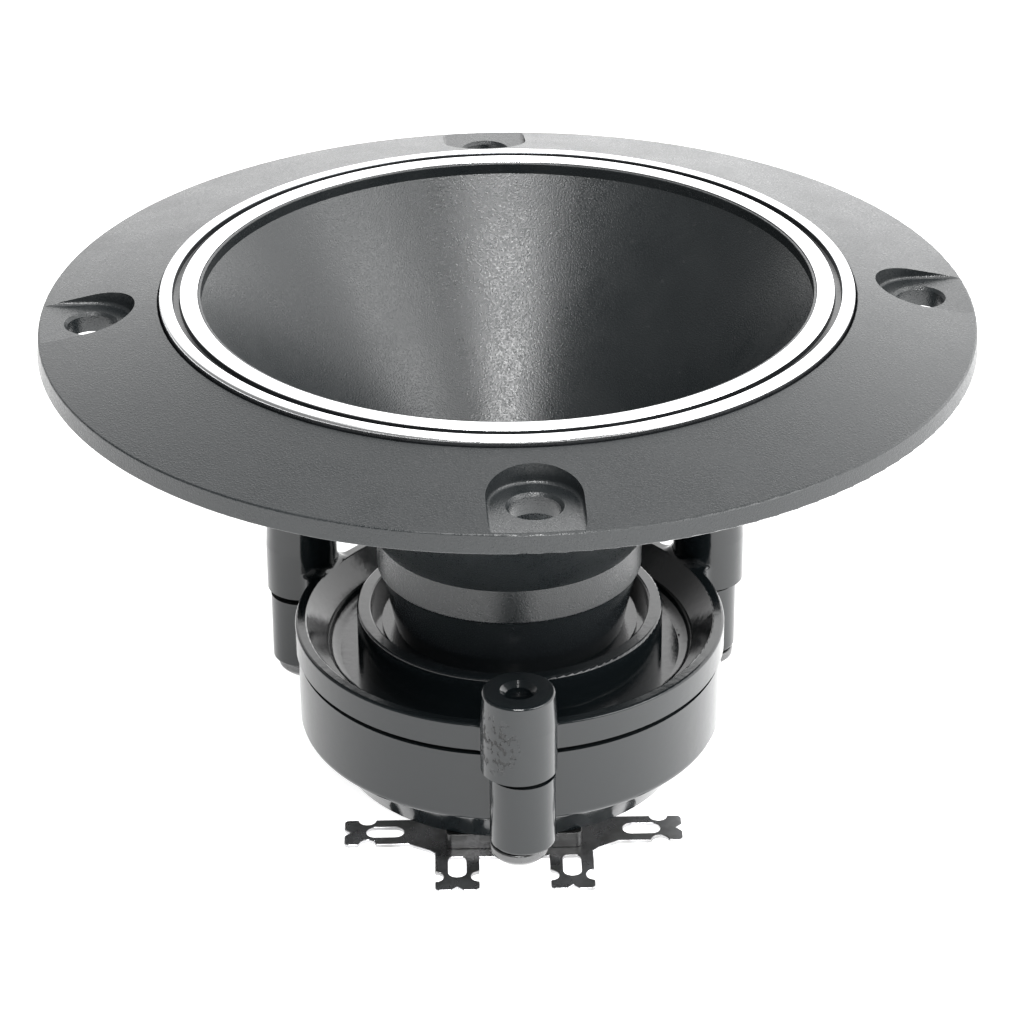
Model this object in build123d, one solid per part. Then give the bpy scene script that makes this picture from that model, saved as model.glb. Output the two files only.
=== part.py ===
from build123d import *
import os
from math import cos, radians, sin, sqrt

# Car tweeter: a compact compression driver on a round, shallow horn with a bolt-on mounting flange.
# Millimetres. +Z is the horn's axis, towards the listener. z = 0 is the flange's rear face, which
# bolts against the panel, so the horn neck, the driver and the terminals hang below it.

# --- Flange -----------------------------------------------------------------------------------
flange_r = 53.5
flange_edge_draft = 0.2
flange_edge_height = 2.24
flange_crown_r = 39.7
flange_crown_height = 5.15
flange_edge_round = 0.25
flange_rear_round = 0.2
crown_round = 0.15
lip_round = 0.12
bolt_circle_r = 47.35
bolt_hole_r = 2.7
bolt_turn = 3.3
bolt_count = 4
pocket_r = 5.1
pocket_floor = 2.3
pocket_root_round = 0.45
bolt_hole_round = 0.35

# --- Bright trim ring round the mouth -----------------------------------------------------------
trim_inner_r = 35.13
trim_outer_r = 39.49
trim_top = 5.85
trim_seat = 4.2
trim_groove_inner_r = 37.11
trim_groove_outer_r = 37.97
trim_groove_depth = 0.75
trim_chamfer = 0.12
trim_outer_round = 0.4
trim_groove_draft = 0.1
trim_seat_rise = 0.2

# --- Horn bell, throat and neck -----------------------------------------------------------------
mouth_r = 34.78
mouth_z = 4.4
lip_top = 5.7
bell_mid_r = 23.4
bell_low_r = 13.0
bell_low_z = -25.0
bell_back_r = 35.6
bell_back_mid_r = 25.1
throat_r = 7.6
throat_top = -33.0
collar_r = 15.65
collar_top = -25.8
collar_low = -29.9
collar_chamfer = 0.45
spigot_r = 15.2
spigot_low = -40.2
neck_waist_r = 13.6
neck_step_z = -38.0
plug_socket_r = 11.6
plug_socket_depth = 2.0

# --- Two-part driver housing, held by long screws in bosses -------------------------------------
housing_r = 25.6
rim_top = -37.6
rim_round = 0.35
rim_inner_round = 0.25
rim_inner_r = 24.3
ledge_r = 21.9
ledge_z = -40.3
moat_floor = -42.0
moat_root_round = 1.65
sleeve_r = 18.2
sleeve_bore_r = 16.5
sleeve_top = -36.0
sleeve_round = 0.3
shelf_top = -38.6
shelf_low = -40.6
seam_z = -40.95
gasket_thickness = 0.8
gasket_inset = 1.1
fit_clearance = 0.1
web_low = -43.6
motor_recess_r = 22.1
register_r = 23.5
register_low = -45.0
boss_count = 3
boss_circle_r = 28.8
boss_turn = 1.9
cover_boss_turn = 0.8
upper_boss_r = 4.15
upper_boss_root_r = 4.35
upper_boss_top = -30.9
lower_boss_r = 3.76
lower_boss_low = -50.7
boss_edge_round = 0.4
boss_blend = 1.3
wall_tolerance = 0.05
boss_inner_r = 24.2
boss_countersink = 0.6
cover_r = 25.3
cover_wall = 1.7
cover_wall_low = -50.7
cover_wall_round = 1.0
waist_round = 0.5
cover_edge_round = 0.4
waist_r = 22.6
waist_z = -51.9
cover_low_r = 20.5
cover_low = -56.0
cover_floor = 1.6
cover_step = 1.25

# --- Housing screws -----------------------------------------------------------------------------
screw_r = 1.5
screw_hole_r = 1.75
screw_head_r = 3.35
screw_head_height = 2.9
screw_head_edge = 1.0
screw_washer_r = 2.75
screw_washer_height = 0.35
screw_crown_share = 0.62
recess_turns = (45, 135)
screw_point = 0.6
screw_tip = -33.6
recess_width = 0.9
recess_span = 3.6
recess_depth = 0.9

# --- Motor: top plate, ring magnet and yoke -----------------------------------------------------
plate_r = 22.0
plate_bore_r = 10.85
plate_low = -45.4
magnet_low = -48.8
magnet_bore_r = 12.4
yoke_r = 18.8
yoke_low = -51.0
pole_r = 9.5
pole_top = -43.4
pole_vent_r = 1.5
motor_pad_r = 12.0
motor_pad_bore_r = 5.0
damping_pad_r = 7.5
damping_pad_height = 1.0

# --- Diaphragm, voice coil and clamp rings ------------------------------------------------------
clamp_bore_r = 12.8
clamp_r = 16.2
clamp_low_height = 1.1
clamp_high_height = 0.9
surround_thickness = 0.2
surround_margin_r = 15.2
surround_roll_height = 0.55
dome_r = 10.15
dome_rise = 2.5
dome_thickness = 0.2
dome_collar_r = 10.9
former_r = 10.15
former_thickness = 0.15
former_low = -46.2
winding_thickness = 0.3
winding_low = -45.8
winding_height = 2.6

# --- Phase plug ---------------------------------------------------------------------------------
plug_clearance = 0.55
slit_inner_r = 6.3
slit_outer_r = 7.5
plug_body_r = 11.5
plug_top = -38.4
plug_flange_height = 0.8
bullet_tip = -31.5
bullet_shoulder_share = 0.7
rib_count = 3
rib_thickness = 1.0
rib_length = 2.0
rib_height = 1.4
rib_drop = 0.2
plug_face_margin = 0.5
plug_roof_gap = 0.3

# --- Terminals ----------------------------------------------------------------------------------
terminal_turn = 1.0
block_width = 16.0
block_front = -19.8
block_back = -8.0
block_low = -58.0
block_round = 0.8
lug_thickness = 0.5
arm_width = 5.2
arm_reach = 8.2
front_arm_x = 6.7
front_arm_tip = -28.2
side_arm_y = -15.9
side_arm_tip = 20.0
lug_inner_x = 1.2
lug_front_y = -21.4
gusset = 1.4
gusset_run = 0.6
arm_overlap = 0.5
eye_start = 2.65
eye_length = 4.4
eye_width = 2.1
bite_r = 1.0
bite_start = 2.75
lug_tip_round = 0.6
end_notch = 0.7
rivet_x = 5.0
rivet_y = -16.5
rivet_r = 1.1
rivet_head_r = 2.0
rivet_head_height = 0.4
rivet_head_round = 0.25
rivet_collar_r = 1.9
rivet_collar_height = 0.6

# --- Internal leads -----------------------------------------------------------------------------
lead_r = 0.35
lead_slot = 1.4
lead_slot_depth = 0.9
lead_bend_r = 0.7
lead_spread = 16.8
lead_start_r = 16.2
lead_lift_r = 18.6
lead_wall_r = 19.75
lead_first_rise = 1.9
tab_thickness = 0.3
tab_inner_r = 13.4

# --- Worked out ---------------------------------------------------------------------------------
cover_top = seam_z - gasket_thickness
cover_inner_low = cover_low + cover_floor
clamp_seat = web_low + clamp_low_height
surround_top = clamp_seat + surround_thickness
clamp_top = surround_top + clamp_high_height
collar_plane = surround_top
dome_sphere_r = (dome_r**2 + dome_rise**2) / (2 * dome_rise)
dome_centre = collar_plane + dome_rise - dome_sphere_r
plug_sphere_r = dome_sphere_r + plug_clearance
core_sphere_r = plug_sphere_r + fit_clearance
plug_flange_low = shelf_low - plug_flange_height
lug_low = block_low - lug_thickness
lead_angles = (-90 + lead_spread + terminal_turn, -90 - lead_spread + terminal_turn)
boss_angles = [-90 + boss_turn + i * 360 / boss_count for i in range(boss_count)]
bolt_angles = [-90 + bolt_turn + i * 360 / bolt_count for i in range(bolt_count)]


# --- Helpers ------------------------------------------------------------------------------------
def rounded(face, rounds):
    """Rounds the corners of an (r, z) face; rounds lists (corner, radius) pairs."""
    for (r, z), radius in rounds:
        corner = face.vertices().sort_by_distance((r, 0, z))[0]
        face = fillet(corner, radius)
    return face


def turned(points, rounds=()):
    """Revolves a closed (r, z) outline made of straight lines."""
    face = make_face(Plane.XZ * Polyline(*points, close=True))
    return revolve(rounded(face, rounds), Axis.Z)


def turned_edges(edges, rounds=()):
    """Revolves a closed (r, z) outline made of lines and arcs."""
    face = make_face(Plane.XZ * Wire(edges))
    return revolve(rounded(face, rounds), Axis.Z)


def ring(outer_r, inner_r, low, high):
    return turned([(inner_r, low), (outer_r, low), (outer_r, high), (inner_r, high)])


def rod(radius, low, high, x=0.0, y=0.0):
    centre = Pos(x, y, low)
    return centre * Cylinder(radius, high - low, align=(Align.CENTER, Align.CENTER, Align.MIN))


def slab(x_size, y_size, low, high, x=0.0, y=0.0):
    centre = Pos(x, y, low)
    return centre * Box(x_size, y_size, high - low, align=(Align.CENTER, Align.CENTER, Align.MIN))


def polar(radius, angle):
    return radius * cos(radians(angle)), radius * sin(radians(angle))


def sphere_z(sphere_r, radius):
    """Height at the given radius of a sphere centred on the dome's centre."""
    return dome_centre + sqrt(sphere_r**2 - radius**2)


def sphere_arc(sphere_r, start_r, end_r):
    middle = (start_r + end_r) / 2
    points = [(r, sphere_z(sphere_r, r)) for r in (start_r, middle, end_r)]
    return ThreePointArc(*points)


def outline(points):
    return [Line(a, b) for a, b in zip(points, points[1:])]


# --- Horn and trim ------------------------------------------------------------------------------
def horn_body():
    """Flange, bell and neck in one casting."""
    mid_z = (mouth_z + bell_low_z) / 2
    back_mid_z = collar_top / 2
    socket_top = spigot_low + plug_socket_depth
    bell = ThreePointArc((mouth_r, mouth_z), (bell_mid_r, mid_z), (bell_low_r, bell_low_z))
    back = ThreePointArc((collar_r, collar_top), (bell_back_mid_r, back_mid_z), (bell_back_r, 0))
    throat = outline([
        (bell_low_r, bell_low_z),
        (throat_r, throat_top),
        (throat_r, socket_top),
        (plug_socket_r, socket_top),
        (plug_socket_r, spigot_low),
        (spigot_r, spigot_low),
        (spigot_r, neck_step_z),
        (neck_waist_r, neck_step_z),
        (spigot_r, collar_low - collar_chamfer),
        (collar_r, collar_low),
        (collar_r, collar_top),
    ])
    flange = outline([
        (bell_back_r, 0),
        (flange_r, 0),
        (flange_r - flange_edge_draft, flange_edge_height),
        (flange_crown_r, flange_crown_height),
        (trim_outer_r, trim_seat + trim_seat_rise),
        (trim_outer_r, trim_seat),
        (trim_inner_r, trim_seat),
        (trim_inner_r, lip_top),
        (mouth_r, lip_top),
        (mouth_r, mouth_z),
    ])
    rounds = (
        ((flange_r, 0), flange_rear_round),
        ((flange_r - flange_edge_draft, flange_edge_height), flange_edge_round),
        ((flange_crown_r, flange_crown_height), crown_round),
        ((trim_inner_r, lip_top), lip_round),
        ((mouth_r, lip_top), lip_round),
    )
    return turned_edges([bell, *throat, back, *flange], rounds)


def bolt_pocket():
    """Cutter for one flat-floored pocket that opens out to the flange's edge."""
    top = flange_crown_height + 1
    reach = flange_r + 1 - bolt_circle_r
    nose = rod(pocket_r, pocket_floor, top, bolt_circle_r, 0)
    mouth = slab(reach, 2 * pocket_r, pocket_floor, top, bolt_circle_r + reach / 2, 0)
    pocket = nose + mouth
    floor_edges = pocket.edges().group_by(Axis.Z)[0]
    end_edge = floor_edges.sort_by(Axis.X)[-1]
    pocket = fillet([edge for edge in floor_edges if edge is not end_edge], pocket_root_round)
    hole = rod(bolt_hole_r, -1, top)
    flare = turned(
        [
            (0, pocket_floor - bolt_hole_round),
            (bolt_hole_r, pocket_floor - bolt_hole_round),
            (bolt_hole_r + bolt_hole_round, pocket_floor),
            (bolt_hole_r + bolt_hole_round, pocket_floor + bolt_hole_round),
            (0, pocket_floor + bolt_hole_round),
        ],
    )
    return pocket + Pos(bolt_circle_r, 0) * (hole + flare)


def horn_flange():
    body = horn_body()
    for angle in bolt_angles:
        body -= Rot(0, 0, angle) * bolt_pocket()
    return body


def trim_ring():
    low, high, cut = trim_seat, trim_top, trim_chamfer
    floor = trim_top - trim_groove_depth
    return turned(
        [
            (trim_inner_r, low),
            (trim_outer_r, low),
            (trim_outer_r, high),
            (trim_groove_outer_r + cut, high),
            (trim_groove_outer_r, high - cut),
            (trim_groove_outer_r - trim_groove_draft, floor),
            (trim_groove_inner_r + trim_groove_draft, floor),
            (trim_groove_inner_r, high - cut),
            (trim_groove_inner_r - cut, high),
            (trim_inner_r + cut, high),
            (trim_inner_r, high - cut),
        ],
        rounds=(((trim_outer_r, high), trim_outer_round),),
    )


# --- Housing ------------------------------------------------------------------------------------
def at_screws(column, turn=0.0):
    """Places a copy of an upright column at each of the three screws."""
    group = Part()
    for angle in boss_angles:
        group += Pos(*polar(boss_circle_r, angle + turn)) * column
    return group


def drilled(radius, low, high):
    """Cutter for the screw holes."""
    return at_screws(rod(radius, low, high))


def blend_bosses(body, wall_r):
    """Fillets the upright corners where each boss meets the round wall."""
    corners = []
    for edge in body.edges():
        middle = edge @ 0.5
        rise = abs((edge @ 1).Z - (edge @ 0).Z)
        on_wall = abs(Vector(middle.X, middle.Y).length - wall_r) < wall_tolerance
        if on_wall and rise > boss_blend:
            corners.append(edge)
    return fillet(corners, boss_blend)


def lead_channels(low, high, inner_r, outer_r):
    """Cutter for the radial slots that the two internal leads lie in."""
    channels = Part()
    for angle in lead_angles:
        middle = (inner_r + outer_r) / 2
        channels += Rot(0, 0, angle) * slab(outer_r - inner_r, lead_slot, low, high, middle, 0)
    return channels


def upper_boss():
    """Column that rises from the seam, with a slight casting draft above the rim."""
    return turned(
        [
            (0, seam_z),
            (upper_boss_root_r, seam_z),
            (upper_boss_root_r, rim_top + 2 * boss_blend),
            (upper_boss_r, upper_boss_top),
            (0, upper_boss_top),
        ],
        rounds=(((upper_boss_r, upper_boss_top), boss_edge_round),),
    )


def front_housing():
    """Black ring with a sleeve round the horn's neck and three tall screw bosses."""
    clamp_socket_r = clamp_r + fit_clearance
    slot_top = web_low + lead_slot_depth
    shell = turned(
        [
            (housing_r, seam_z),
            (housing_r, rim_top),
            (rim_inner_r, rim_top),
            (ledge_r, ledge_z),
            (ledge_r, moat_floor),
            (sleeve_r, moat_floor),
            (sleeve_r, sleeve_top),
            (sleeve_bore_r, sleeve_top),
            (sleeve_bore_r, shelf_top),
            (spigot_r, shelf_top),
            (spigot_r, shelf_low),
            (clamp_socket_r, shelf_low),
            (clamp_socket_r, web_low),
            (motor_recess_r, web_low),
            (motor_recess_r, register_low),
            (register_r, register_low),
            (register_r, seam_z),
        ],
        rounds=(
            ((housing_r, rim_top), rim_round),
            ((rim_inner_r, rim_top), rim_inner_round),
            ((ledge_r, moat_floor), moat_root_round),
            ((sleeve_r, sleeve_top), sleeve_round),
            ((sleeve_bore_r, sleeve_top), sleeve_round),
        ),
    )
    bosses = at_screws(upper_boss()) - rod(boss_inner_r, seam_z - 1, 0)
    body = blend_bosses(shell + bosses, housing_r)
    body -= drilled(screw_r, seam_z - 1, upper_boss_top + 1)
    mouth = Cone(screw_r, screw_r + boss_countersink, boss_countersink)
    body -= at_screws(Pos(0, 0, upper_boss_top - boss_countersink / 2) * mouth)
    register_mid_r = (motor_recess_r + register_r) / 2
    body -= lead_channels(web_low - fit_clearance, slot_top, clamp_r, register_mid_r)
    recess_start = motor_recess_r - fit_clearance
    return body - lead_channels(register_low - 1, slot_top, recess_start, register_r + fit_clearance)


def housing_gasket():
    """Flat ring in the seam, with an ear round each screw."""
    ear_r = lower_boss_r - gasket_inset / 2
    gasket = ring(housing_r - gasket_inset, register_r + fit_clearance / 2, cover_top, seam_z)
    neck_length = boss_circle_r - cover_r + cover_wall
    neck = slab(neck_length, ear_r, cover_top, seam_z, -neck_length / 2, 0)
    for angle in boss_angles:
        centre = Pos(*polar(boss_circle_r, angle))
        gasket += centre * (rod(ear_r, cover_top, seam_z) + Rot(0, 0, angle) * neck)
    return gasket - drilled(screw_hole_r, cover_top, seam_z)


def lower_boss():
    """Column on the cover, down to the screw's head."""
    return turned(
        [(0, lower_boss_low), (lower_boss_r, lower_boss_low), (lower_boss_r, cover_top), (0, cover_top)],
        rounds=(((lower_boss_r, lower_boss_low), boss_edge_round),),
    )


def rear_cover():
    """Stepped cup that closes the back of the driver."""
    wall_r = cover_r - cover_wall
    step_r = waist_r - cover_wall
    cup = turned(
        [
            (0, cover_low),
            (cover_low_r, cover_low),
            (waist_r, waist_z),
            (cover_r, cover_wall_low),
            (cover_r, cover_top),
            (wall_r, cover_top),
            (wall_r, cover_wall_low + cover_step),
            (step_r, waist_z + cover_step),
            (cover_low_r - cover_step, cover_inner_low),
            (0, cover_inner_low),
        ],
        rounds=(
            ((cover_r, cover_wall_low), cover_wall_round),
            ((waist_r, waist_z), waist_round),
            ((cover_low_r, cover_low), cover_edge_round),
        ),
    )
    bosses = at_screws(lower_boss(), cover_boss_turn)
    bosses -= rod(cover_r - cover_wall / 2, lower_boss_low, cover_top)
    body = blend_bosses(cup + bosses, cover_r)
    body -= drilled(screw_hole_r, lower_boss_low - 1, cover_top + 1)
    return body - Rot(0, 0, terminal_turn) * rivet_holes(cover_low - 1, cover_inner_low + 1)


def housing_screw():
    """Pan-head screw, head down, with a cross recess and a small washer face under the head."""
    head_top = lower_boss_low - screw_washer_height
    head_low = head_top - screw_head_height
    edge_z = head_top - screw_head_edge
    shoulder_r = screw_head_r * screw_crown_share
    shoulder_z = head_low + (screw_head_height - screw_head_edge) * screw_crown_share**2
    dome = ThreePointArc((0, head_low), (shoulder_r, shoulder_z), (screw_head_r, edge_z))
    shank = outline([
        (screw_head_r, edge_z),
        (screw_head_r, head_top),
        (screw_washer_r, head_top),
        (screw_washer_r, lower_boss_low),
        (screw_r, lower_boss_low),
        (screw_r, screw_tip),
        (screw_r - screw_point, screw_tip + screw_point),
        (0, screw_tip + screw_point),
        (0, head_low),
    ])
    screw = turned_edges([dome, *shank])
    for turn in recess_turns:
        screw -= Rot(0, 0, turn) * slab(recess_span, recess_width, head_low - 1, head_low + recess_depth)
    return screw


def housing_screws():
    return [Pos(*polar(boss_circle_r, angle), 0) * housing_screw() for angle in boss_angles]


# --- Motor --------------------------------------------------------------------------------------
def top_plate():
    return ring(plate_r, plate_bore_r, plate_low, web_low)


def magnet():
    return ring(plate_r, magnet_bore_r, magnet_low, plate_low)


def yoke():
    """Back plate and pole piece in one, with a vent through the pole."""
    return turned([
        (pole_vent_r, yoke_low),
        (yoke_r, yoke_low),
        (yoke_r, magnet_low),
        (pole_r, magnet_low),
        (pole_r, pole_top),
        (pole_vent_r, pole_top),
    ])


def motor_pad():
    return ring(motor_pad_r, motor_pad_bore_r, cover_inner_low, yoke_low)


def damping_pad():
    return ring(damping_pad_r, pole_vent_r, pole_top, pole_top + damping_pad_height)


# --- Diaphragm ----------------------------------------------------------------------------------
def diaphragm_dome():
    """Thin spherical dome with a flat collar that the surround is bonded to."""
    inner_sphere = dome_sphere_r - dome_thickness
    inner_r = former_r - former_thickness
    low = collar_plane - dome_thickness
    join_z = sphere_z(inner_sphere, inner_r)
    skin = sphere_arc(dome_sphere_r, 0, dome_r)
    lining = sphere_arc(inner_sphere, inner_r, 0)
    collar = outline([(dome_r, collar_plane), (dome_collar_r, collar_plane), (dome_collar_r, low),
                      (inner_r, low), (inner_r, join_z)])
    axis_line = Line((0, sphere_z(inner_sphere, 0)), (0, sphere_z(dome_sphere_r, 0)))
    return turned_edges([skin, *collar, lining, axis_line])


def surround():
    """Half-roll between the dome's collar and the clamp rings."""
    low, high = clamp_seat, surround_top
    middle = (dome_collar_r + clamp_bore_r) / 2
    roll_top = high + surround_roll_height
    upper = ThreePointArc((dome_collar_r, high), (middle, roll_top), (clamp_bore_r, high))
    under_roll = roll_top - surround_thickness
    lower = ThreePointArc((clamp_bore_r, low), (middle, under_roll), (dome_collar_r, low))
    margin = outline([(clamp_bore_r, high), (surround_margin_r, high), (surround_margin_r, low),
                      (clamp_bore_r, low)])
    return turned_edges([upper, *margin, lower, Line((dome_collar_r, low), (dome_collar_r, high))])


def voice_coil_former():
    return ring(former_r, former_r - former_thickness, former_low, collar_plane - dome_thickness)


def voice_coil_winding():
    return ring(former_r + winding_thickness, former_r, winding_low, winding_low + winding_height)


def lower_clamp_ring():
    body = ring(clamp_r, clamp_bore_r, web_low, clamp_seat)
    return body - lead_channels(web_low, clamp_seat, tab_inner_r - fit_clearance, clamp_r + 1)


def upper_clamp_ring():
    return ring(clamp_r, clamp_bore_r, surround_top, clamp_top)


def coil_tab(angle):
    """Contact strip that ties a coil end to its lead, in the lower clamp ring's slot."""
    length = clamp_r - tab_inner_r
    middle = tab_inner_r + length / 2
    width = lead_slot - fit_clearance
    strip = slab(length, width, clamp_seat - tab_thickness, clamp_seat, middle, 0)
    return Rot(0, 0, angle) * strip


# --- Phase plug ---------------------------------------------------------------------------------
def phase_plug():
    """Outer body and bullet-shaped core, joined by ribs across the annular slit."""
    face_r = dome_collar_r - plug_face_margin
    roof = clamp_top + plug_roof_gap
    under_body = sphere_arc(plug_sphere_r, slit_outer_r, face_r)
    body_sides = outline([
        (face_r, sphere_z(plug_sphere_r, face_r)),
        (face_r, roof),
        (clamp_bore_r, roof),
        (clamp_bore_r, plug_flange_low),
        (clamp_r, plug_flange_low),
        (clamp_r, shelf_low),
        (plug_body_r, shelf_low),
        (plug_body_r, plug_top),
        (slit_outer_r, plug_top),
        (slit_outer_r, sphere_z(plug_sphere_r, slit_outer_r)),
    ])
    under_core = sphere_arc(core_sphere_r, 0, slit_inner_r)
    wall = Line((slit_inner_r, sphere_z(core_sphere_r, slit_inner_r)), (slit_inner_r, plug_top))
    nose_rise = bullet_tip - plug_top
    nose_sphere_r = (slit_inner_r**2 + nose_rise**2) / (2 * nose_rise)
    shoulder_r = slit_inner_r * bullet_shoulder_share
    shoulder_z = bullet_tip - nose_sphere_r + sqrt(nose_sphere_r**2 - shoulder_r**2)
    nose = ThreePointArc((slit_inner_r, plug_top), (shoulder_r, shoulder_z), (0, bullet_tip))
    axis_line = Line((0, bullet_tip), (0, sphere_z(core_sphere_r, 0)))
    core = turned_edges([under_core, wall, nose, axis_line])
    ribs = Part()
    rib_high = plug_top - rib_drop
    for i in range(rib_count):
        middle = (slit_inner_r + slit_outer_r) / 2
        rib = slab(rib_length, rib_thickness, rib_high - rib_height, rib_high, middle, 0)
        ribs += Rot(0, 0, 90 + i * 360 / rib_count) * rib
    return turned_edges([under_body, *body_sides]) + ribs + core


def throat_gasket():
    return ring(spigot_r - fit_clearance, plug_socket_r, shelf_low, spigot_low)


# --- Terminals ----------------------------------------------------------------------------------
def rivet_holes(low, high):
    return rod(rivet_r, low, high, rivet_x, rivet_y) + rod(rivet_r, low, high, -rivet_x, rivet_y)


def terminal_block():
    depth = block_back - block_front
    block = slab(block_width, depth, block_low, cover_low, 0, (block_front + block_back) / 2)
    block = fillet(block.edges().filter_by(Axis.Z), block_round)
    return Rot(0, 0, terminal_turn) * (block - rivet_holes(block_low - 1, cover_low + 1))


def lug_arm():
    """Solder arm whose tip is at the origin, pointing along +X, with an eye and two bites."""
    half = arm_width / 2
    arm = Pos(-arm_reach / 2, 0) * Rectangle(arm_reach, arm_width)
    tip_corners = arm.vertices().sort_by(Axis.X)[-2:]
    arm = fillet(tip_corners, lug_tip_round)
    arm -= Pos(-(eye_start + eye_length / 2), 0) * SlotOverall(eye_length, eye_width)
    for side in (half, -half):
        arm -= Pos(-bite_start, side) * Circle(bite_r)
    return arm - Rot(0, 0, 45) * Rectangle(end_notch * sqrt(2), end_notch * sqrt(2))


def lug_outline():
    """Right-hand lug: a body under the block with one arm to the front and one to the side."""
    half = arm_width / 2
    corner_x = front_arm_x + half
    side_high = side_arm_y + half
    gusset_y = side_arm_y - half - gusset
    side_root = side_arm_tip - arm_reach + arm_overlap
    body = make_face(Polyline(
        (lug_inner_x, side_high),
        (side_root, side_high),
        (side_root, side_arm_y - half),
        (corner_x + gusset_run, gusset_y),
        (corner_x, gusset_y - gusset_run),
        (corner_x, lug_front_y),
        (lug_inner_x, lug_front_y),
        close=True,
    ))
    side_arm = Pos(side_arm_tip, side_arm_y) * lug_arm()
    front_arm = Pos(front_arm_x, front_arm_tip) * Rot(0, 0, -90) * lug_arm()
    return body + side_arm + front_arm


def terminal_lug(side):
    """side is 1 for the right-hand lug and -1 for its mirror image."""
    plate = extrude(Pos(0, 0, lug_low) * lug_outline(), lug_thickness)
    if side < 0:
        plate = mirror(plate, Plane.YZ)
    return Rot(0, 0, terminal_turn) * (plate - rivet_holes(lug_low - 1, block_low + 1))


def terminal_rivet(x):
    head = rod(rivet_head_r, lug_low - rivet_head_height, lug_low, x, rivet_y)
    head = fillet(head.edges().group_by(Axis.Z)[0], rivet_head_round)
    shank = rod(rivet_r, lug_low, cover_inner_low, x, rivet_y)
    collar = rod(rivet_collar_r, cover_inner_low, cover_inner_low + rivet_collar_height, x, rivet_y)
    return head + shank + collar


def terminal_rivets():
    return [Rot(0, 0, terminal_turn) * terminal_rivet(x) for x in (rivet_x, -rivet_x)]


def internal_lead(angle):
    """Lead from a rivet's collar, up beside the magnet and in under the housing's web to its tab."""
    collar_z = cover_inner_low + rivet_collar_height + lead_r
    tab_z = clamp_seat - tab_thickness - lead_r
    side_r = (plate_r + cover_r - cover_wall) / 2
    route = [
        (lead_start_r, collar_z),
        (lead_lift_r, collar_z),
        (lead_wall_r, collar_z + lead_first_rise),
        (lead_wall_r, yoke_low + lead_bend_r),
        (side_r, magnet_low),
        (side_r, tab_z),
        (tab_inner_r + 2 * lead_r, tab_z),
    ]
    path = Plane.XZ * FilletPolyline(*route, radius=lead_bend_r)
    start = Plane(path @ 0, z_dir=path % 0)
    lead = sweep(start * Circle(lead_r), path)
    return Rot(0, 0, angle) * lead


# --- Write one file per piece -------------------------------------------------------------------
def pieces():
    right_angle, left_angle = lead_angles
    return {
        "horn_flange": horn_flange(),
        "trim_ring": trim_ring(),
        "throat_gasket": throat_gasket(),
        "phase_plug": phase_plug(),
        "front_housing": front_housing(),
        "housing_gasket": housing_gasket(),
        "rear_cover": rear_cover(),
        "housing_screws": Compound(housing_screws()),
        "top_plate": top_plate(),
        "magnet": magnet(),
        "yoke": yoke(),
        "motor_pad": motor_pad(),
        "damping_pad": damping_pad(),
        "lower_clamp_ring": lower_clamp_ring(),
        "upper_clamp_ring": upper_clamp_ring(),
        "diaphragm_dome": diaphragm_dome(),
        "surround": surround(),
        "voice_coil_former": voice_coil_former(),
        "voice_coil_winding": voice_coil_winding(),
        "coil_tab_right": coil_tab(right_angle),
        "coil_tab_left": coil_tab(left_angle),
        "lead_right": internal_lead(right_angle),
        "lead_left": internal_lead(left_angle),
        "terminal_block": terminal_block(),
        "terminal_lug_right": terminal_lug(1),
        "terminal_lug_left": terminal_lug(-1),
        "terminal_rivets": Compound(terminal_rivets()),
    }


os.makedirs("parts", exist_ok=True)
for name, shape in pieces().items():
    export_step(shape, f"parts/{name}.step")
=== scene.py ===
import math

import bmesh
import bpy
from mathutils import Matrix, Vector, noise


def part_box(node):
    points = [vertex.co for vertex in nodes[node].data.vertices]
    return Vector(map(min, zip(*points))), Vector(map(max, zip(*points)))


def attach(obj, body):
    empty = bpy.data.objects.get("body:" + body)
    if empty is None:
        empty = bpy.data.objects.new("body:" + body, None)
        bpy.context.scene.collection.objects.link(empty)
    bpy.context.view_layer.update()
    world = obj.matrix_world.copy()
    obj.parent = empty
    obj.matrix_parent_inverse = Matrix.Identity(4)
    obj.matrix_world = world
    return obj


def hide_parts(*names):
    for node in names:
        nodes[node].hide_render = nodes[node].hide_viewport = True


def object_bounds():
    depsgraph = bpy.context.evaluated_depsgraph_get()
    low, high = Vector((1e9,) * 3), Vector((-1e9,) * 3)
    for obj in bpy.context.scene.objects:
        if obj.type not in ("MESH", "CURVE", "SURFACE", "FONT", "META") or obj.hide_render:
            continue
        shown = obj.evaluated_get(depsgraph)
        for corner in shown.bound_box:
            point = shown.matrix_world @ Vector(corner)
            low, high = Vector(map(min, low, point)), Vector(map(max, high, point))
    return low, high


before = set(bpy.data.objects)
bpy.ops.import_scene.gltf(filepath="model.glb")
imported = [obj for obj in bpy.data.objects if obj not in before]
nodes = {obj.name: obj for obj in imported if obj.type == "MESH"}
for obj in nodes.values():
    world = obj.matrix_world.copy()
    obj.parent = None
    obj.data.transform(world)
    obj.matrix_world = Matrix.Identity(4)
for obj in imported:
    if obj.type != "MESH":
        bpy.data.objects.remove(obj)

cad_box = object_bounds()
MM = 0.001

# --- Camera: straight in front of the flange, looking down at 28 degrees -------------------------
CAMERA_ELEVATION = math.radians(28.36)
CAMERA_ROLL = math.radians(-0.4)
CAMERA_DISTANCE = 423.4 * MM
CAMERA_TARGET = Vector((0.37, 0.0, -23.9)) * MM
CAMERA_LENS = 126.6
SENSOR_WIDTH = 36.0
CLIP_RANGE = (0.01, 20.0)

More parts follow.
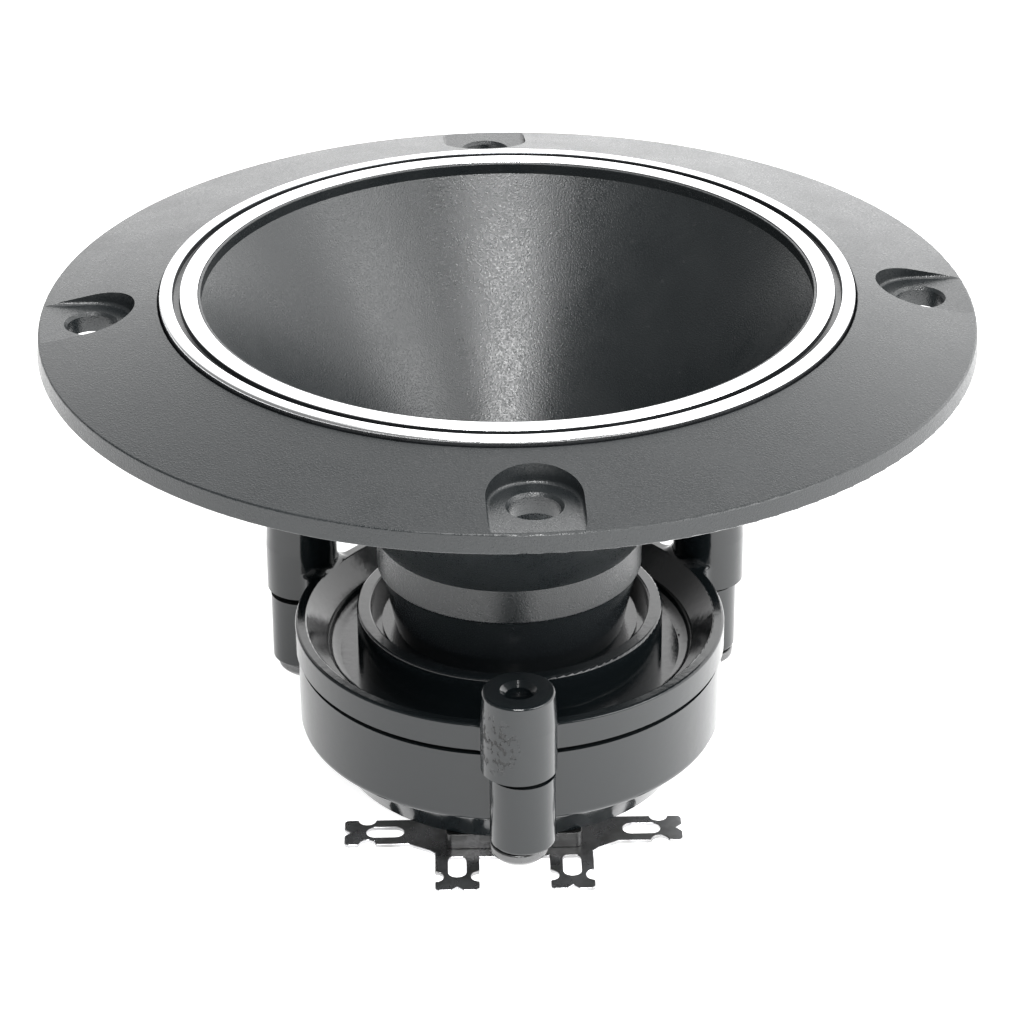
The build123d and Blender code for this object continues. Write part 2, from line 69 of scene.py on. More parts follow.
# --- Studio: radiance is in units of display white -----------------------------------------------
FLOOR_SIZE = 6.0
FLOOR_GAP = 0.2 * MM
FLOOR_ALBEDO = 0.8
FLOOR_GLOW_FRONT = 1.1
FLOOR_GLOW_BACK = 0.46
FLOOR_GLOW_SIDE = 0.3
BACK_RADIANCE = 2.7
DIM_RADIANCE = 0.3
ZENITH_RADIANCE = 3.0
LEFT_EDGE = (math.radians(-62), math.radians(8))
FRONT_EDGE = (math.radians(95), math.radians(150))
HIGH_SKY = (0.45, 0.9)
HIGH_SKY_SHARE = 0.3
ZENITH_EDGE = (0.88, 0.97)
FLOOR_GLOW_DEPTH = (-0.03, 0.05)
FLOOR_GLOW_WIDTH = (-0.06, 0.06)
# Azimuth and elevation in degrees, distance, width and height in metres, radiance.
KEY_PANEL = (0.0, 46.0, 1.2, 0.5, 0.42, 24.0)
RIGHT_PANEL = (65.0, 38.0, 1.3, 0.9, 0.8, 5.0)

# --- Sizes of the parts that are rebuilt here, in millimetres --------------------------------------
RING_INNER_R = 35.13
RING_CORNER = 0.09
RING_OUTER_ROUND = 0.42
RING_CREST_OFFSET = 0.5
RING_PAINTED_ROLL = 0.75
GROOVE_INNER_R = 37.11
GROOVE_OUTER_R = 37.97
GROOVE_DEPTH = 0.7
GROOVE_DRAFT = 0.08
GROOVE_PAINT_DROP = 0.06
LAND_DISH = 0.03
SCREW_PITCH = 0.7
SCREW_ROOT_R = 1.22
SCREW_MAJOR_R = 1.48
SCREW_HEAD_R = 3.33
SCREW_HEAD_HEIGHT = 2.9
SCREW_HEAD_EDGE = 1.0
SCREW_WASHER_R = 2.75
SCREW_WASHER_HEIGHT = 0.35
SCREW_CORNER = 0.3
SCREW_NECK = 0.4
SCREW_GAP = 0.02
CROWN_SHARES = (0.0, 0.3, 0.5, 0.7, 0.85)
THREAD_START = 0.3
THREAD_TIP = 0.6
THREAD_TIP_SHARE = 0.7
THREAD_AROUND = 40
THREAD_ROWS = 10
RECESS_SPAN = 3.5
RECESS_WIDTH = 0.85
RECESS_DEPTH = 0.85
RECESS_TAPER = 0.55
RECESS_TURNS = (45, 135)
WIRE_TURNS = 13
WIRE_STEPS = 6
WIRE_ROOT_SHARE = 0.55
WIRE_HALF_PITCH = 0.48
FORMER_R = 10.15
MOTOR_PAD_BORE = 5.0
DAMPING_PAD_BORE = 1.5
PAD_STEPS = 28
PAD_SIDE_POWER = 0.35
PAD_FACE_POWER = 0.45
PAD_WOBBLE = 0.06
PAD_WOBBLE_SCALE = 900.0
RIVET_X = 5.0
RIVET_Y = -16.5
RIVET_R = 1.1
RIVET_HEAD_R = 1.97
RIVET_HEAD_HEIGHT = 0.4
RIVET_COLLAR_R = 1.9
RIVET_COLLAR_HEIGHT = 0.6
RIVET_COLLAR_EDGE = 0.2
RIVET_CORNER = 0.15
RIVET_DIMPLE_TOP = 0.25
RIVET_DIMPLE_LOW = 0.12
TERMINAL_TURN = math.radians(1.0)
FLAT_ANGLE = math.radians(0.5)
BEVEL_ANGLE = math.radians(30)
BEVEL_SEGMENTS = 3
SHARP_ANGLE = math.radians(35)

# --- Paint: where the horn's grain ends at the neck, and where the front boss is chipped --------------
NECK_PAINT_EDGE = (-30.3 * MM, -29.9 * MM)
CHIP_OFFSET = Vector((-2.2, 0.6, -5.2)) * MM
CHIP_REACH = (1.2 * MM, 4.4 * MM)
HORN_DARK = (0.006, 0.008, 0.009, 1.0)
HORN_LIGHT = (0.013, 0.015, 0.016, 1.0)
HORN_DUST = (0.035, 0.036, 0.037, 1.0)
ENAMEL_BLACK = (0.005, 0.007, 0.008, 1.0)
CHIP_BLACK = (0.004, 0.004, 0.004, 1.0)
RING_DARK = (0.62, 0.63, 0.64, 1.0)
RING_LIGHT = (0.86, 0.86, 0.86, 1.0)
RING_LINE = (0.22, 0.23, 0.24, 1.0)
TIN_BRIGHT = (0.52, 0.52, 0.53, 1.0)
TIN_TARNISHED = (0.3, 0.3, 0.3, 1.0)
ZINC_DARK = (0.5, 0.5, 0.48, 1.0)
ZINC_LIGHT = (0.68, 0.68, 0.66, 1.0)
COPPER_DARK = (0.5, 0.16, 0.07, 1.0)
COPPER_LIGHT = (0.78, 0.32, 0.16, 1.0)
WHITE = (1.0, 1.0, 1.0, 1.0)


# --- Mesh helpers -----------------------------------------------------------------------------------
def link(obj):
    bpy.context.scene.collection.objects.link(obj)
    return obj


def object_from(name, mesh_maker, material):
    """Turns a bmesh into a smooth-shaded object and frees the bmesh."""
    bmesh.ops.recalc_face_normals(mesh_maker, faces=mesh_maker.faces)
    for face in mesh_maker.faces:
        face.smooth = True
    mesh = bpy.data.meshes.new(name)
    mesh_maker.to_mesh(mesh)
    mesh_maker.free()
    mesh.materials.append(material)
    return link(bpy.data.objects.new(name, mesh))


def soften(points, radius, steps=4):
    """Rounds every corner of a closed outline; a point may carry its own radius as a third value."""
    result = []
    count = len(points)
    for i, point in enumerate(points):
        corner = Vector(point[:2])
        before = Vector(points[i - 1][:2]) - corner
        after = Vector(points[(i + 1) % count][:2]) - corner
        own_radius = point[2] if len(point) > 2 else radius
        cut = min(own_radius, 0.45 * before.length, 0.45 * after.length)
        start = corner + before.normalized() * cut
        end = corner + after.normalized() * cut
        for step in range(steps + 1):
            t = step / steps
            result.append(start.lerp(corner, t).lerp(corner.lerp(end, t), t))
    return result


def add_lathe(maker, profile, segments, centre=(0.0, 0.0)):
    """Adds a closed (r, z) outline, in millimetres, turned about an upright axis."""
    rings = []
    for i in range(segments):
        angle = 2 * math.pi * i / segments
        turn = (math.cos(angle), math.sin(angle))
        ring = [
            maker.verts.new(((centre[0] + r * turn[0]) * MM, (centre[1] + r * turn[1]) * MM, z * MM))
            for r, z in profile
        ]
        rings.append(ring)
    count = len(profile)
    for i, ring in enumerate(rings):
        following = rings[(i + 1) % segments]
        for j in range(count):
            k = (j + 1) % count
            maker.faces.new((ring[j], following[j], following[k], ring[k]))
    bmesh.ops.remove_doubles(maker, verts=maker.verts, dist=1e-8)
    bmesh.ops.dissolve_degenerate(maker, edges=maker.edges, dist=1e-8)


def lathe(name, profile, material, segments):
    maker = bmesh.new()
    add_lathe(maker, profile, segments)
    return object_from(name, maker, material)


def stand_for(piece, node, body):
    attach(piece, body)
    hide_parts(node)


def node_sizes(node):
    """Outer radius, lowest z and highest z of a node that is centred on the axis, in millimetres."""
    low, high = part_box(node)
    return (high.x - low.x) / 2 / MM, low.z / MM, high.z / MM


def chamfered(node, width, material):
    """A copy of a CAD node with real broken edges, as the machined or moulded piece has."""
    maker = bmesh.new()
    maker.from_mesh(nodes[node].data)
    bmesh.ops.remove_doubles(maker, verts=maker.verts, dist=2e-7)
    bmesh.ops.dissolve_limit(maker, angle_limit=FLAT_ANGLE, verts=maker.verts, edges=maker.edges)
    mesh = bpy.data.meshes.new(f"{node}_detail")
    maker.to_mesh(mesh)
    maker.free()
    for spare in ("custom_normal", "sharp_face", "sharp_edge"):
        if spare in mesh.attributes:
            mesh.attributes.remove(mesh.attributes[spare])
    mesh.shade_smooth()
    mesh.materials.clear()
    mesh.materials.append(material)
    piece = link(bpy.data.objects.new(mesh.name, mesh))
    bevel = piece.modifiers.new("edges", "BEVEL")
    bevel.width = width * MM
    bevel.segments = BEVEL_SEGMENTS
    bevel.limit_method = "ANGLE"
    bevel.angle_limit = BEVEL_ANGLE
    bevel.harden_normals = True
    stand_for(piece, node, "frame")


# --- Shader helpers -----------------------------------------------------------------------------------
class Shade:
    """Makes and links the nodes of one material or world."""

    def __init__(self, tree):
        self.tree = tree

    def node(self, kind, **values):
        made = self.tree.nodes.new(kind)
        for name, value in values.items():
            setattr(made, name, value)
        return made

    def link(self, source, target):
        self.tree.links.new(source, target)

    def put(self, target, value):
        if isinstance(value, bpy.types.NodeSocket):
            self.link(value, target)
        else:
            target.default_value = value

    def math(self, operation, *values):
        made = self.node("ShaderNodeMath", operation=operation)
        for socket, value in zip(made.inputs, values):
            self.put(socket, value)
        return made.outputs[0]

    def coords(self, scale=(1.0, 1.0, 1.0)):
        made = self.node("ShaderNodeMapping")
        self.link(self.node("ShaderNodeTexCoord").outputs["Object"], made.inputs["Vector"])
        made.inputs["Scale"].default_value = scale
        return made.outputs[0]

    def split(self, vector):
        made = self.node("ShaderNodeSeparateXYZ")
        self.link(vector, made.inputs[0])
        return made.outputs

    def radius(self):
        x, y, _ = self.split(self.coords())
        squares = self.math("ADD", self.math("MULTIPLY", x, x), self.math("MULTIPLY", y, y))
        return self.math("SQRT", squares)

    def noise(self, vector, scale, detail=2.0, roughness=0.5):
        made = self.node("ShaderNodeTexNoise")
        self.link(vector, made.inputs["Vector"])
        made.inputs["Scale"].default_value = scale
        made.inputs["Detail"].default_value = detail
        made.inputs["Roughness"].default_value = roughness
        return made.outputs["Fac"]

    def noise_line(self, position, scale, detail=2.0):
        made = self.node("ShaderNodeTexNoise", noise_dimensions="1D")
        self.link(position, made.inputs["W"])
        made.inputs["Scale"].default_value = scale
        made.inputs["Detail"].default_value = detail
        return made.outputs["Fac"]

    def cells(self, vector, scale):
        made = self.node("ShaderNodeTexVoronoi")
        self.link(vector, made.inputs["Vector"])
        made.inputs["Scale"].default_value = scale
        return made.outputs["Distance"]

    def ramp(self, value, low, high, out_low=0.0, out_high=1.0, smooth=False):
        made = self.node("ShaderNodeMapRange")
        if smooth:
            made.interpolation_type = "SMOOTHSTEP"
        self.link(value, made.inputs["Value"])
        for name, number in (("From Min", low), ("From Max", high), ("To Min", out_low), ("To Max", out_high)):
            made.inputs[name].default_value = number
        return made.outputs[0]

    def mix(self, factor, first, second):
        made = self.node("ShaderNodeMix", data_type="RGBA")
        self.put(made.inputs[0], factor)
        self.put(made.inputs[6], first)
        self.put(made.inputs[7], second)
        return made.outputs[2]

    def bump(self, height, strength, distance, normal=None):
        """A bump whose full height is the given distance, in millimetres."""
        made = self.node("ShaderNodeBump")
        made.inputs["Strength"].default_value = strength
        made.inputs["Distance"].default_value = distance * MM
        self.link(height, made.inputs["Height"])
        if normal is not None:
            self.link(normal, made.inputs["Normal"])
        return made.outputs[0]


def surface(name, roughness, metallic=0.0, ior=1.5, coat=0.0, sheen=0.0):
    """A new material with its node helper and its shader."""
    material = bpy.data.materials.new(name)
    material.use_nodes = True
    shader = material.node_tree.nodes["Principled BSDF"]
    shader.inputs["Roughness"].default_value = roughness
    shader.inputs["Metallic"].default_value = metallic
    shader.inputs["IOR"].default_value = ior
    shader.inputs["Coat Weight"].default_value = coat
    shader.inputs["Coat Roughness"].default_value = 0.08
    shader.inputs["Sheen Weight"].default_value = sheen
    return material, Shade(material.node_tree), shader


def tones(color, spread):
    """A darker and a lighter version of one colour."""
    dark = tuple(channel * (1 - spread) for channel in color)
    light = tuple(channel * (1 + spread) for channel in color)
    return (*dark, 1.0), (*light, 1.0)


def grained(name, color, roughness, metallic=0.0, grain=1400.0, depth=0.01, spread=0.25, **extra):
    """A moulded, cast or plated finish: mottled colour, uneven gloss and a fine surface grain."""
    material, make, shader = surface(name, roughness, metallic, **extra)
    place = make.coords()
    cloud = make.noise(place, grain / 12, 3.0)
    fine = make.noise(place, grain, 3.0, 0.6)
    make.link(make.mix(make.ramp(cloud, 0.3, 0.7), *tones(color, spread)), shader.inputs["Base Color"])
    gloss = make.math("ADD", make.ramp(fine, 0.3, 0.7, -0.05, 0.05), make.ramp(cloud, 0.3, 0.7, -0.04, 0.04))
    make.link(make.math("ADD", gloss, roughness), shader.inputs["Roughness"])
    make.link(make.bump(fine, 0.6, depth), shader.inputs["Normal"])
    return material


# --- Materials of the outside ---------------------------------------------------------------------------
def horn_paint():
    """Black powder coat with a sandy grain and a little dust; the neck below the collar is smoother."""
    material, make, shader = surface("horn_paint", 0.32)
    place = make.coords()
    beads = make.cells(place, 4600.0)
    sparkle = make.noise(place, 4500.0, 2.0)
    _, _, height = make.split(place)
    neck = make.ramp(height, *NECK_PAINT_EDGE, 1.0, 0.0)
    cloud = make.noise(place, 160.0, 3.0)
    dust = make.ramp(make.noise(place, 900.0, 2.0), 0.68, 0.8)
    color = make.mix(cloud, HORN_DARK, HORN_LIGHT)
    color = make.mix(make.math("MULTIPLY", dust, 0.5), color, HORN_DUST)
    make.link(color, shader.inputs["Base Color"])
    uneven = make.math("ADD", make.ramp(sparkle, 0.3, 0.7, 0.25, 0.39), make.ramp(cloud, 0.3, 0.7, -0.03, 0.03))
    make.link(make.math("SUBTRACT", uneven, make.math("MULTIPLY", neck, 0.2)), shader.inputs["Roughness"])
    grain_depth = make.math("SUBTRACT", 1.0, make.math("MULTIPLY", neck, 0.8))
    sand = make.math("MULTIPLY", make.ramp(beads, 0.0, 0.6, 1.0, 0.0), grain_depth)
    sand = make.bump(sand, 0.6, 0.03)
    make.link(make.bump(sparkle, 0.35, 0.03, sand), shader.inputs["Normal"])
    return material


def housing_paint():
    """Gloss black enamel: a slight orange peel, brush lines, and chips on one boss."""
    material, make, shader = surface("housing_paint", 0.12)
    place = make.coords()
    low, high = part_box("front_housing")
    middle = (low.x + high.x) / 2
    chip_centre = Vector((middle, low.y, high.z)) + CHIP_OFFSET
    away = make.node("ShaderNodeVectorMath", operation="DISTANCE")
    make.link(place, away.inputs[0])
    away.inputs[1].default_value = chip_centre
    near = make.ramp(away.outputs["Value"], *CHIP_REACH, 1.0, 0.0, smooth=True)
    flakes = make.ramp(make.noise(make.coords((1.0, 1.0, 0.7)), 1700.0, 3.0), 0.55, 0.6)
    chips = make.math("MULTIPLY", near, flakes)
    peel = make.noise(place, 650.0, 3.0, 0.6)
    lines = make.noise(make.coords((1.0, 1.0, 14.0)), 260.0, 2.0)
    make.link(make.mix(chips, ENAMEL_BLACK, CHIP_BLACK), shader.inputs["Base Color"])
    gloss = make.ramp(make.noise(place, 1500.0), 0.3, 0.7, 0.1, 0.17)
    make.link(make.math("ADD", gloss, make.math("MULTIPLY", chips, 0.5)), shader.inputs["Roughness"])
    coat = make.bump(peel, 0.5, 0.03)
    coat = make.bump(lines, 0.12, 0.01, coat)
    make.link(make.bump(make.math("SUBTRACT", 1.0, chips), 1.0, 0.4, coat), shader.inputs["Normal"])
    return material


def turned_aluminium():
    """Bright lathe-cut face: concentric tool marks with a few scratches."""
    material, make, shader = surface("trim_metal", 0.16, metallic=1.0)
    radius = make.radius()
    marks = make.noise_line(radius, 8500.0, 3.0)
    bands = make.noise_line(radius, 1400.0, 2.0)
    scratches = make.ramp(make.noise(make.coords((1.0, 5.0, 1.0)), 700.0, 3.0), 0.66, 0.72)
    lines = make.ramp(make.noise_line(radius, 5200.0, 1.0), 0.6, 0.72)
    color = make.mix(bands, RING_DARK, RING_LIGHT)
    make.link(make.mix(lines, color, RING_LINE), shader.inputs["Base Color"])
    gloss = make.math("ADD", make.ramp(marks, 0.3, 0.7, 0.12, 0.24), make.math("MULTIPLY", scratches, 0.12))
    make.link(gloss, shader.inputs["Roughness"])
    make.link(make.bump(marks, 0.35, 0.006), shader.inputs["Normal"])
    return material


def tinned_steel():
    """Stamped and tinned solder lug: soft smears, with darker tarnish patches."""
    material, make, shader = surface("terminal_metal", 0.28, metallic=1.0)
    place = make.coords()
    smear = make.noise(make.coords((1.0, 0.35, 1.0)), 500.0, 4.0, 0.6)
    tarnish = make.ramp(make.noise(place, 260.0, 3.0), 0.42, 0.62)
    make.link(make.mix(tarnish, TIN_BRIGHT, TIN_TARNISHED), shader.inputs["Base Color"])
    gloss = make.math("ADD", make.ramp(smear, 0.3, 0.7, 0.2, 0.34), make.math("MULTIPLY", tarnish, 0.1))
    make.link(gloss, shader.inputs["Roughness"])
    make.link(make.bump(smear, 0.4, 0.02), shader.inputs["Normal"])
    return material


# --- Materials of the inside ------------------------------------------------------------------------------
def plated_steel():
    """Zinc plate over turned steel: concentric marks and cloudy gloss."""
    material, make, shader = surface("plate_steel", 0.3, metallic=1.0)
    marks = make.noise_line(make.radius(), 3500.0, 3.0)
    cloud = make.noise(make.coords(), 220.0, 3.0)
    make.link(make.mix(cloud, ZINC_DARK, ZINC_LIGHT), shader.inputs["Base Color"])
    gloss = make.math("ADD", make.ramp(marks, 0.3, 0.7, 0.2, 0.34), make.ramp(cloud, 0.3, 0.7, -0.04, 0.08))
    make.link(gloss, shader.inputs["Roughness"])
    make.link(make.bump(marks, 0.4, 0.01), shader.inputs["Normal"])
    return material


def foam(name, color, cell_scale):
    """Open cells or felted fibres under a fine fuzz; painted shade darkens the pits of the cells."""
    material, make, shader = surface(name, 0.9, sheen=0.3)
    place = make.coords()
    pore_pits_and_painted_shade = make.cells(place, cell_scale)
    fuzz = make.noise(place, cell_scale * 2, 3.0)
    # painted shade: the colour is darkest at the bottom of each pore pit
    make.link(make.mix(make.ramp(pore_pits_and_painted_shade, 0.1, 0.6), *tones(color, 0.5)), shader.inputs["Base Color"])
    make.link(make.bump(fuzz, 0.4, 0.05, make.bump(pore_pits_and_painted_shade, 0.8, 0.12)), shader.inputs["Normal"])
    return material


def woven(name, color, threads):
    """Doped cloth: crossed threads under a slightly glossy coating; painted shade darkens the low parts of the
    weave.
    """
    material, make, shader = surface(name, 0.5, coat=0.3)
    x, y, _ = make.split(make.coords())
    warp = make.math("SINE", make.math("MULTIPLY", x, threads))
    weft = make.math("SINE", make.math("MULTIPLY", y, threads))
    weave_height_and_painted_shade = make.math("MULTIPLY", warp, weft)
    # painted shade: the weave is coloured darker where its bump is lowest
    make.link(make.mix(make.ramp(weave_height_and_painted_shade, -1.0, 1.0), *tones(color, 0.4)), shader.inputs["Base Color"])
    make.link(make.bump(weave_height_and_painted_shade, 0.6, 0.03), shader.inputs["Normal"])
    return material


def enamelled_copper():
    """Enamelled wire: copper with small uneven flecks under a clear coat."""
    material, make, shader = surface("winding_copper", 0.25, metallic=1.0, coat=0.6)
    fleck = make.noise(make.coords((1.0, 1.0, 6.0)), 900.0, 3.0)
    make.link(make.mix(fleck, COPPER_DARK, COPPER_LIGHT), shader.inputs["Base Color"])
    make.link(make.bump(fleck, 0.3, 0.01), shader.inputs["Normal"])
    return material


# --- Pieces ---------------------------------------------------------------------------------------------
def make_trim_ring(metal, paint):
    """Two bright lands either side of a black groove; the outer edge is rolled over."""
    outer_r, low, high = node_sizes("trim_ring")
    floor = high - GROOVE_DEPTH
    land = high - LAND_DISH
    inner_crest = (RING_INNER_R + GROOVE_INNER_R) / 2
    outer_crest = GROOVE_OUTER_R + RING_CREST_OFFSET
    outline = [
        (RING_INNER_R, low), (outer_r, low), (outer_r, land, RING_OUTER_ROUND), (outer_crest, high),
        (GROOVE_OUTER_R, land), (GROOVE_OUTER_R - GROOVE_DRAFT, floor),
        (GROOVE_INNER_R + GROOVE_DRAFT, floor), (GROOVE_INNER_R, land), (inner_crest, high), (RING_INNER_R, land),
    ]
    ring = lathe("trim_ring_turned", soften(outline, RING_CORNER, 6), metal, segments=256)
    ring.data.materials.append(paint)
    for face in ring.data.polygons:
        radius, depth = face.center.xy.length / MM, land - face.center.z / MM
        in_groove = GROOVE_INNER_R < radius < GROOVE_OUTER_R and depth > GROOVE_PAINT_DROP
        below_roll = radius > GROOVE_OUTER_R and depth > RING_PAINTED_ROLL * RING_OUTER_ROUND
        face.material_index = 1 if in_groove or below_roll else 0
    stand_for(ring, "trim_ring", "frame")


def add_thread(maker, centre, low, high):
    """Adds a threaded shank whose radius follows one helix."""
    rows = int((high - low) / SCREW_PITCH * THREAD_ROWS)
    grid = []
    for row in range(rows + 1):
        z = low + (high - low) * row / rows
        taper = min(1.0, (high - z) / THREAD_TIP)
        ring = []
        for i in range(THREAD_AROUND):
            angle = 2 * math.pi * i / THREAD_AROUND
            phase = (z / SCREW_PITCH - i / THREAD_AROUND) % 1.0
            tooth = 1 - abs(2 * phase - 1)
            r = SCREW_ROOT_R + (SCREW_MAJOR_R - SCREW_ROOT_R) * tooth
            r *= THREAD_TIP_SHARE + (1 - THREAD_TIP_SHARE) * taper
            x, y = centre[0] + r * math.cos(angle), centre[1] + r * math.sin(angle)
            ring.append(maker.verts.new((x * MM, y * MM, z * MM)))
        grid.append(ring)
    for lower, upper in zip(grid, grid[1:]):
        for i in range(THREAD_AROUND):
            k = (i + 1) % THREAD_AROUND
            maker.faces.new((lower[i], lower[k], upper[k], upper[i]))
    maker.faces.new(grid[0])
    maker.faces.new(grid[-1])


def cross_cutter(centres, low):
    """Tapered cross that is cut into each head from below."""
    maker = bmesh.new()
    for x, y in centres:
        for turn in RECESS_TURNS:
            arm = bmesh.ops.create_cube(maker, size=1.0)["verts"]
            for vert in arm:
                narrow = RECESS_TAPER if vert.co.z > 0 else 1.0
                vert.co = Vector((
                    vert.co.x * RECESS_SPAN * narrow, vert.co.y * RECESS_WIDTH, vert.co.z * 2 * RECESS_DEPTH,
                )) * MM
            placed = Matrix.Translation(Vector((x, y, low)) * MM) @ Matrix.Rotation(math.radians(turn), 4, "Z")
            bmesh.ops.transform(maker, matrix=placed, verts=arm)
    mesh = bpy.data.meshes.new("recess")
    maker.to_mesh(mesh)
    maker.free()
    return link(bpy.data.objects.new("recess", mesh))


def cut_away(piece, cutter):
    """Subtracts the cutter from a piece for good and removes it."""
    modifier = piece.modifiers.new("cut", "BOOLEAN")
    modifier.object = cutter
    modifier.operation = "DIFFERENCE"
    modifier.solver = "EXACT"
    modifier.use_self = True
    depsgraph = bpy.context.evaluated_depsgraph_get()
    mesh = bpy.data.meshes.new_from_object(piece.evaluated_get(depsgraph))
    piece.modifiers.clear()
    piece.data = mesh
    bpy.data.objects.remove(cutter)


def screw_centres():
    """The three screw axes: the first is at the front, the others a third of a turn on."""
    low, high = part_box("housing_screws")
    reach = SCREW_HEAD_R + SCREW_GAP
    front_y, right_x, left_x = low.y / MM + reach, high.x / MM - reach, low.x / MM + reach
    front_x = -(right_x + left_x)
    circle = math.hypot(front_x, front_y)
    start = math.atan2(front_y, front_x)
    thirds = [start + i * 2 * math.pi / 3 for i in range(3)]
    return [(circle * math.cos(a), circle * math.sin(a)) for a in thirds]


def make_screws(material):
    low, high = (corner.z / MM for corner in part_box("housing_screws"))
    under_head = low + SCREW_HEAD_HEIGHT
    centres = screw_centres()
    rise = SCREW_HEAD_HEIGHT - SCREW_HEAD_EDGE
    crown = [(SCREW_HEAD_R * share, low + SCREW_GAP + rise * share**2) for share in CROWN_SHARES]
    skirt = [(SCREW_HEAD_R, under_head - SCREW_HEAD_EDGE), (SCREW_HEAD_R, under_head)]
    seat = under_head + SCREW_WASHER_HEIGHT
    washer = [(SCREW_WASHER_R, under_head, 0.05), (SCREW_WASHER_R, seat, 0.05)]
    neck_top = seat + SCREW_NECK
    neck = [(SCREW_MAJOR_R, seat, 0.02), (SCREW_MAJOR_R, neck_top, 0.02), (0.0, neck_top)]
    profile = soften(crown[1:] + skirt + washer + neck[:2], SCREW_CORNER, 3)
    profile = [crown[0], *profile, neck[2]]
    heads = bmesh.new()
    for centre in centres:
        add_lathe(heads, profile, 64, centre)
    screws = object_from("housing_screws_threaded", heads, material)
    cut_away(screws, cross_cutter(centres, low))
    shanks = bmesh.new()
    shanks.from_mesh(screws.data)
    for centre in centres:
        add_thread(shanks, centre, seat + THREAD_START, high)
    bmesh.ops.recalc_face_normals(shanks, faces=shanks.faces)
    shanks.to_mesh(screws.data)
    shanks.free()
    keep_sharp(screws)
    stand_for(screws, "housing_screws", "frame")


def keep_sharp(piece):
    """Smooth shading everywhere but across real edges."""
    piece.data.shade_smooth()
    piece.data.set_sharp_from_angle(angle=SHARP_ANGLE)


def make_rivets(material):
    """Domed tinned rivets: head under the lug, barrel, and collar inside the cover."""
    low, high = (corner.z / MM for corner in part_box("terminal_rivets"))
    outline = [
        (RIVET_HEAD_R * 0.55, low), (RIVET_HEAD_R, low + RIVET_HEAD_HEIGHT * 0.5),
        (RIVET_HEAD_R, low + RIVET_HEAD_HEIGHT), (RIVET_R, low + RIVET_HEAD_HEIGHT),
        (RIVET_R, high - RIVET_COLLAR_HEIGHT), (RIVET_COLLAR_R, high - RIVET_COLLAR_HEIGHT),
        (RIVET_COLLAR_R, high - RIVET_COLLAR_EDGE), (RIVET_COLLAR_R * 0.5, high),
    ]
    dimple = [(0.0, high - RIVET_DIMPLE_TOP), (0.0, low + RIVET_DIMPLE_LOW)]
    profile = [*soften(outline, RIVET_CORNER, 3), *dimple]
    maker = bmesh.new()
    for side in (1, -1):
        spot = Vector((side * RIVET_X, RIVET_Y))
        spot.rotate(Matrix.Rotation(TERMINAL_TURN, 2))
        add_lathe(maker, profile, 48, spot)
    rivets = object_from("terminal_rivets_domed", maker, material)
    keep_sharp(rivets)
    stand_for(rivets, "terminal_rivets", "frame")


def make_winding(material):
    """Single layer of round enamelled wire on the former."""
    outer_r, low, high = node_sizes("voice_coil_winding")
    pitch = (high - low) / WIRE_TURNS
    profile = [(FORMER_R, high), (FORMER_R, low)]
    for turn in range(WIRE_TURNS):
        middle = low + (turn + 0.5) * pitch
        for step in range(WIRE_STEPS + 1):
            angle = math.pi * (step / WIRE_STEPS - 0.5)
            bulge = (outer_r - FORMER_R) * (WIRE_ROOT_SHARE + (1 - WIRE_ROOT_SHARE) * math.cos(angle))
            profile.append((FORMER_R + bulge, middle + math.sin(angle) * pitch * WIRE_HALF_PITCH))
    coil = lathe("voice_coil_turns", profile, material, segments=144)
    stand_for(coil, "voice_coil_winding", "diaphragm")


def make_pad(node, bore, material, name):
    """Soft ring whose faces are crowned and a little uneven, pressed flat where it touches."""
    outer_r, low, high = node_sizes(node)
    middle_r, half = (outer_r + bore) / 2, (high - low) / 2
    centre_z = (low + high) / 2
    profile = []
    for step in range(PAD_STEPS):
        angle = 2 * math.pi * step / PAD_STEPS
        c, s = math.cos(angle), math.sin(angle)
        across = math.copysign(abs(c) ** PAD_SIDE_POWER, c) * (outer_r - bore) / 2
        up = math.copysign(abs(s) ** PAD_FACE_POWER, s) * half
        profile.append((middle_r + across, centre_z + up))
    maker = bmesh.new()
    add_lathe(maker, profile, 96)
    for vert in maker.verts:
        wobble = noise.noise(vert.co * PAD_WOBBLE_SCALE) * PAD_WOBBLE * MM
        side = Vector((vert.co.x, vert.co.y, 0.0)).normalized()
        inward = -1.0 if vert.co.xy.length > middle_r * MM else 1.0
        vert.co += side * inward * abs(wobble)
    pad = object_from(name, maker, material)
    stand_for(pad, node, "frame")


# --- Stage ------------------------------------------------------------------------------------------------
def make_camera():
    data = bpy.data.cameras.new("camera")
    data.lens = CAMERA_LENS
    data.sensor_width = SENSOR_WIDTH
    data.clip_start, data.clip_end = CLIP_RANGE
    camera = link(bpy.data.objects.new("camera", data))
    back = Vector((0.0, -math.cos(CAMERA_ELEVATION), math.sin(CAMERA_ELEVATION)))
    camera.location = CAMERA_TARGET + back * CAMERA_DISTANCE
    camera.rotation_mode = "QUATERNION"
    level = (-back).to_track_quat("-Z", "Y").to_matrix()
    camera.rotation_quaternion = (level @ Matrix.Rotation(CAMERA_ROLL, 3, "Z")).to_quaternion()
    bpy.context.scene.camera = camera


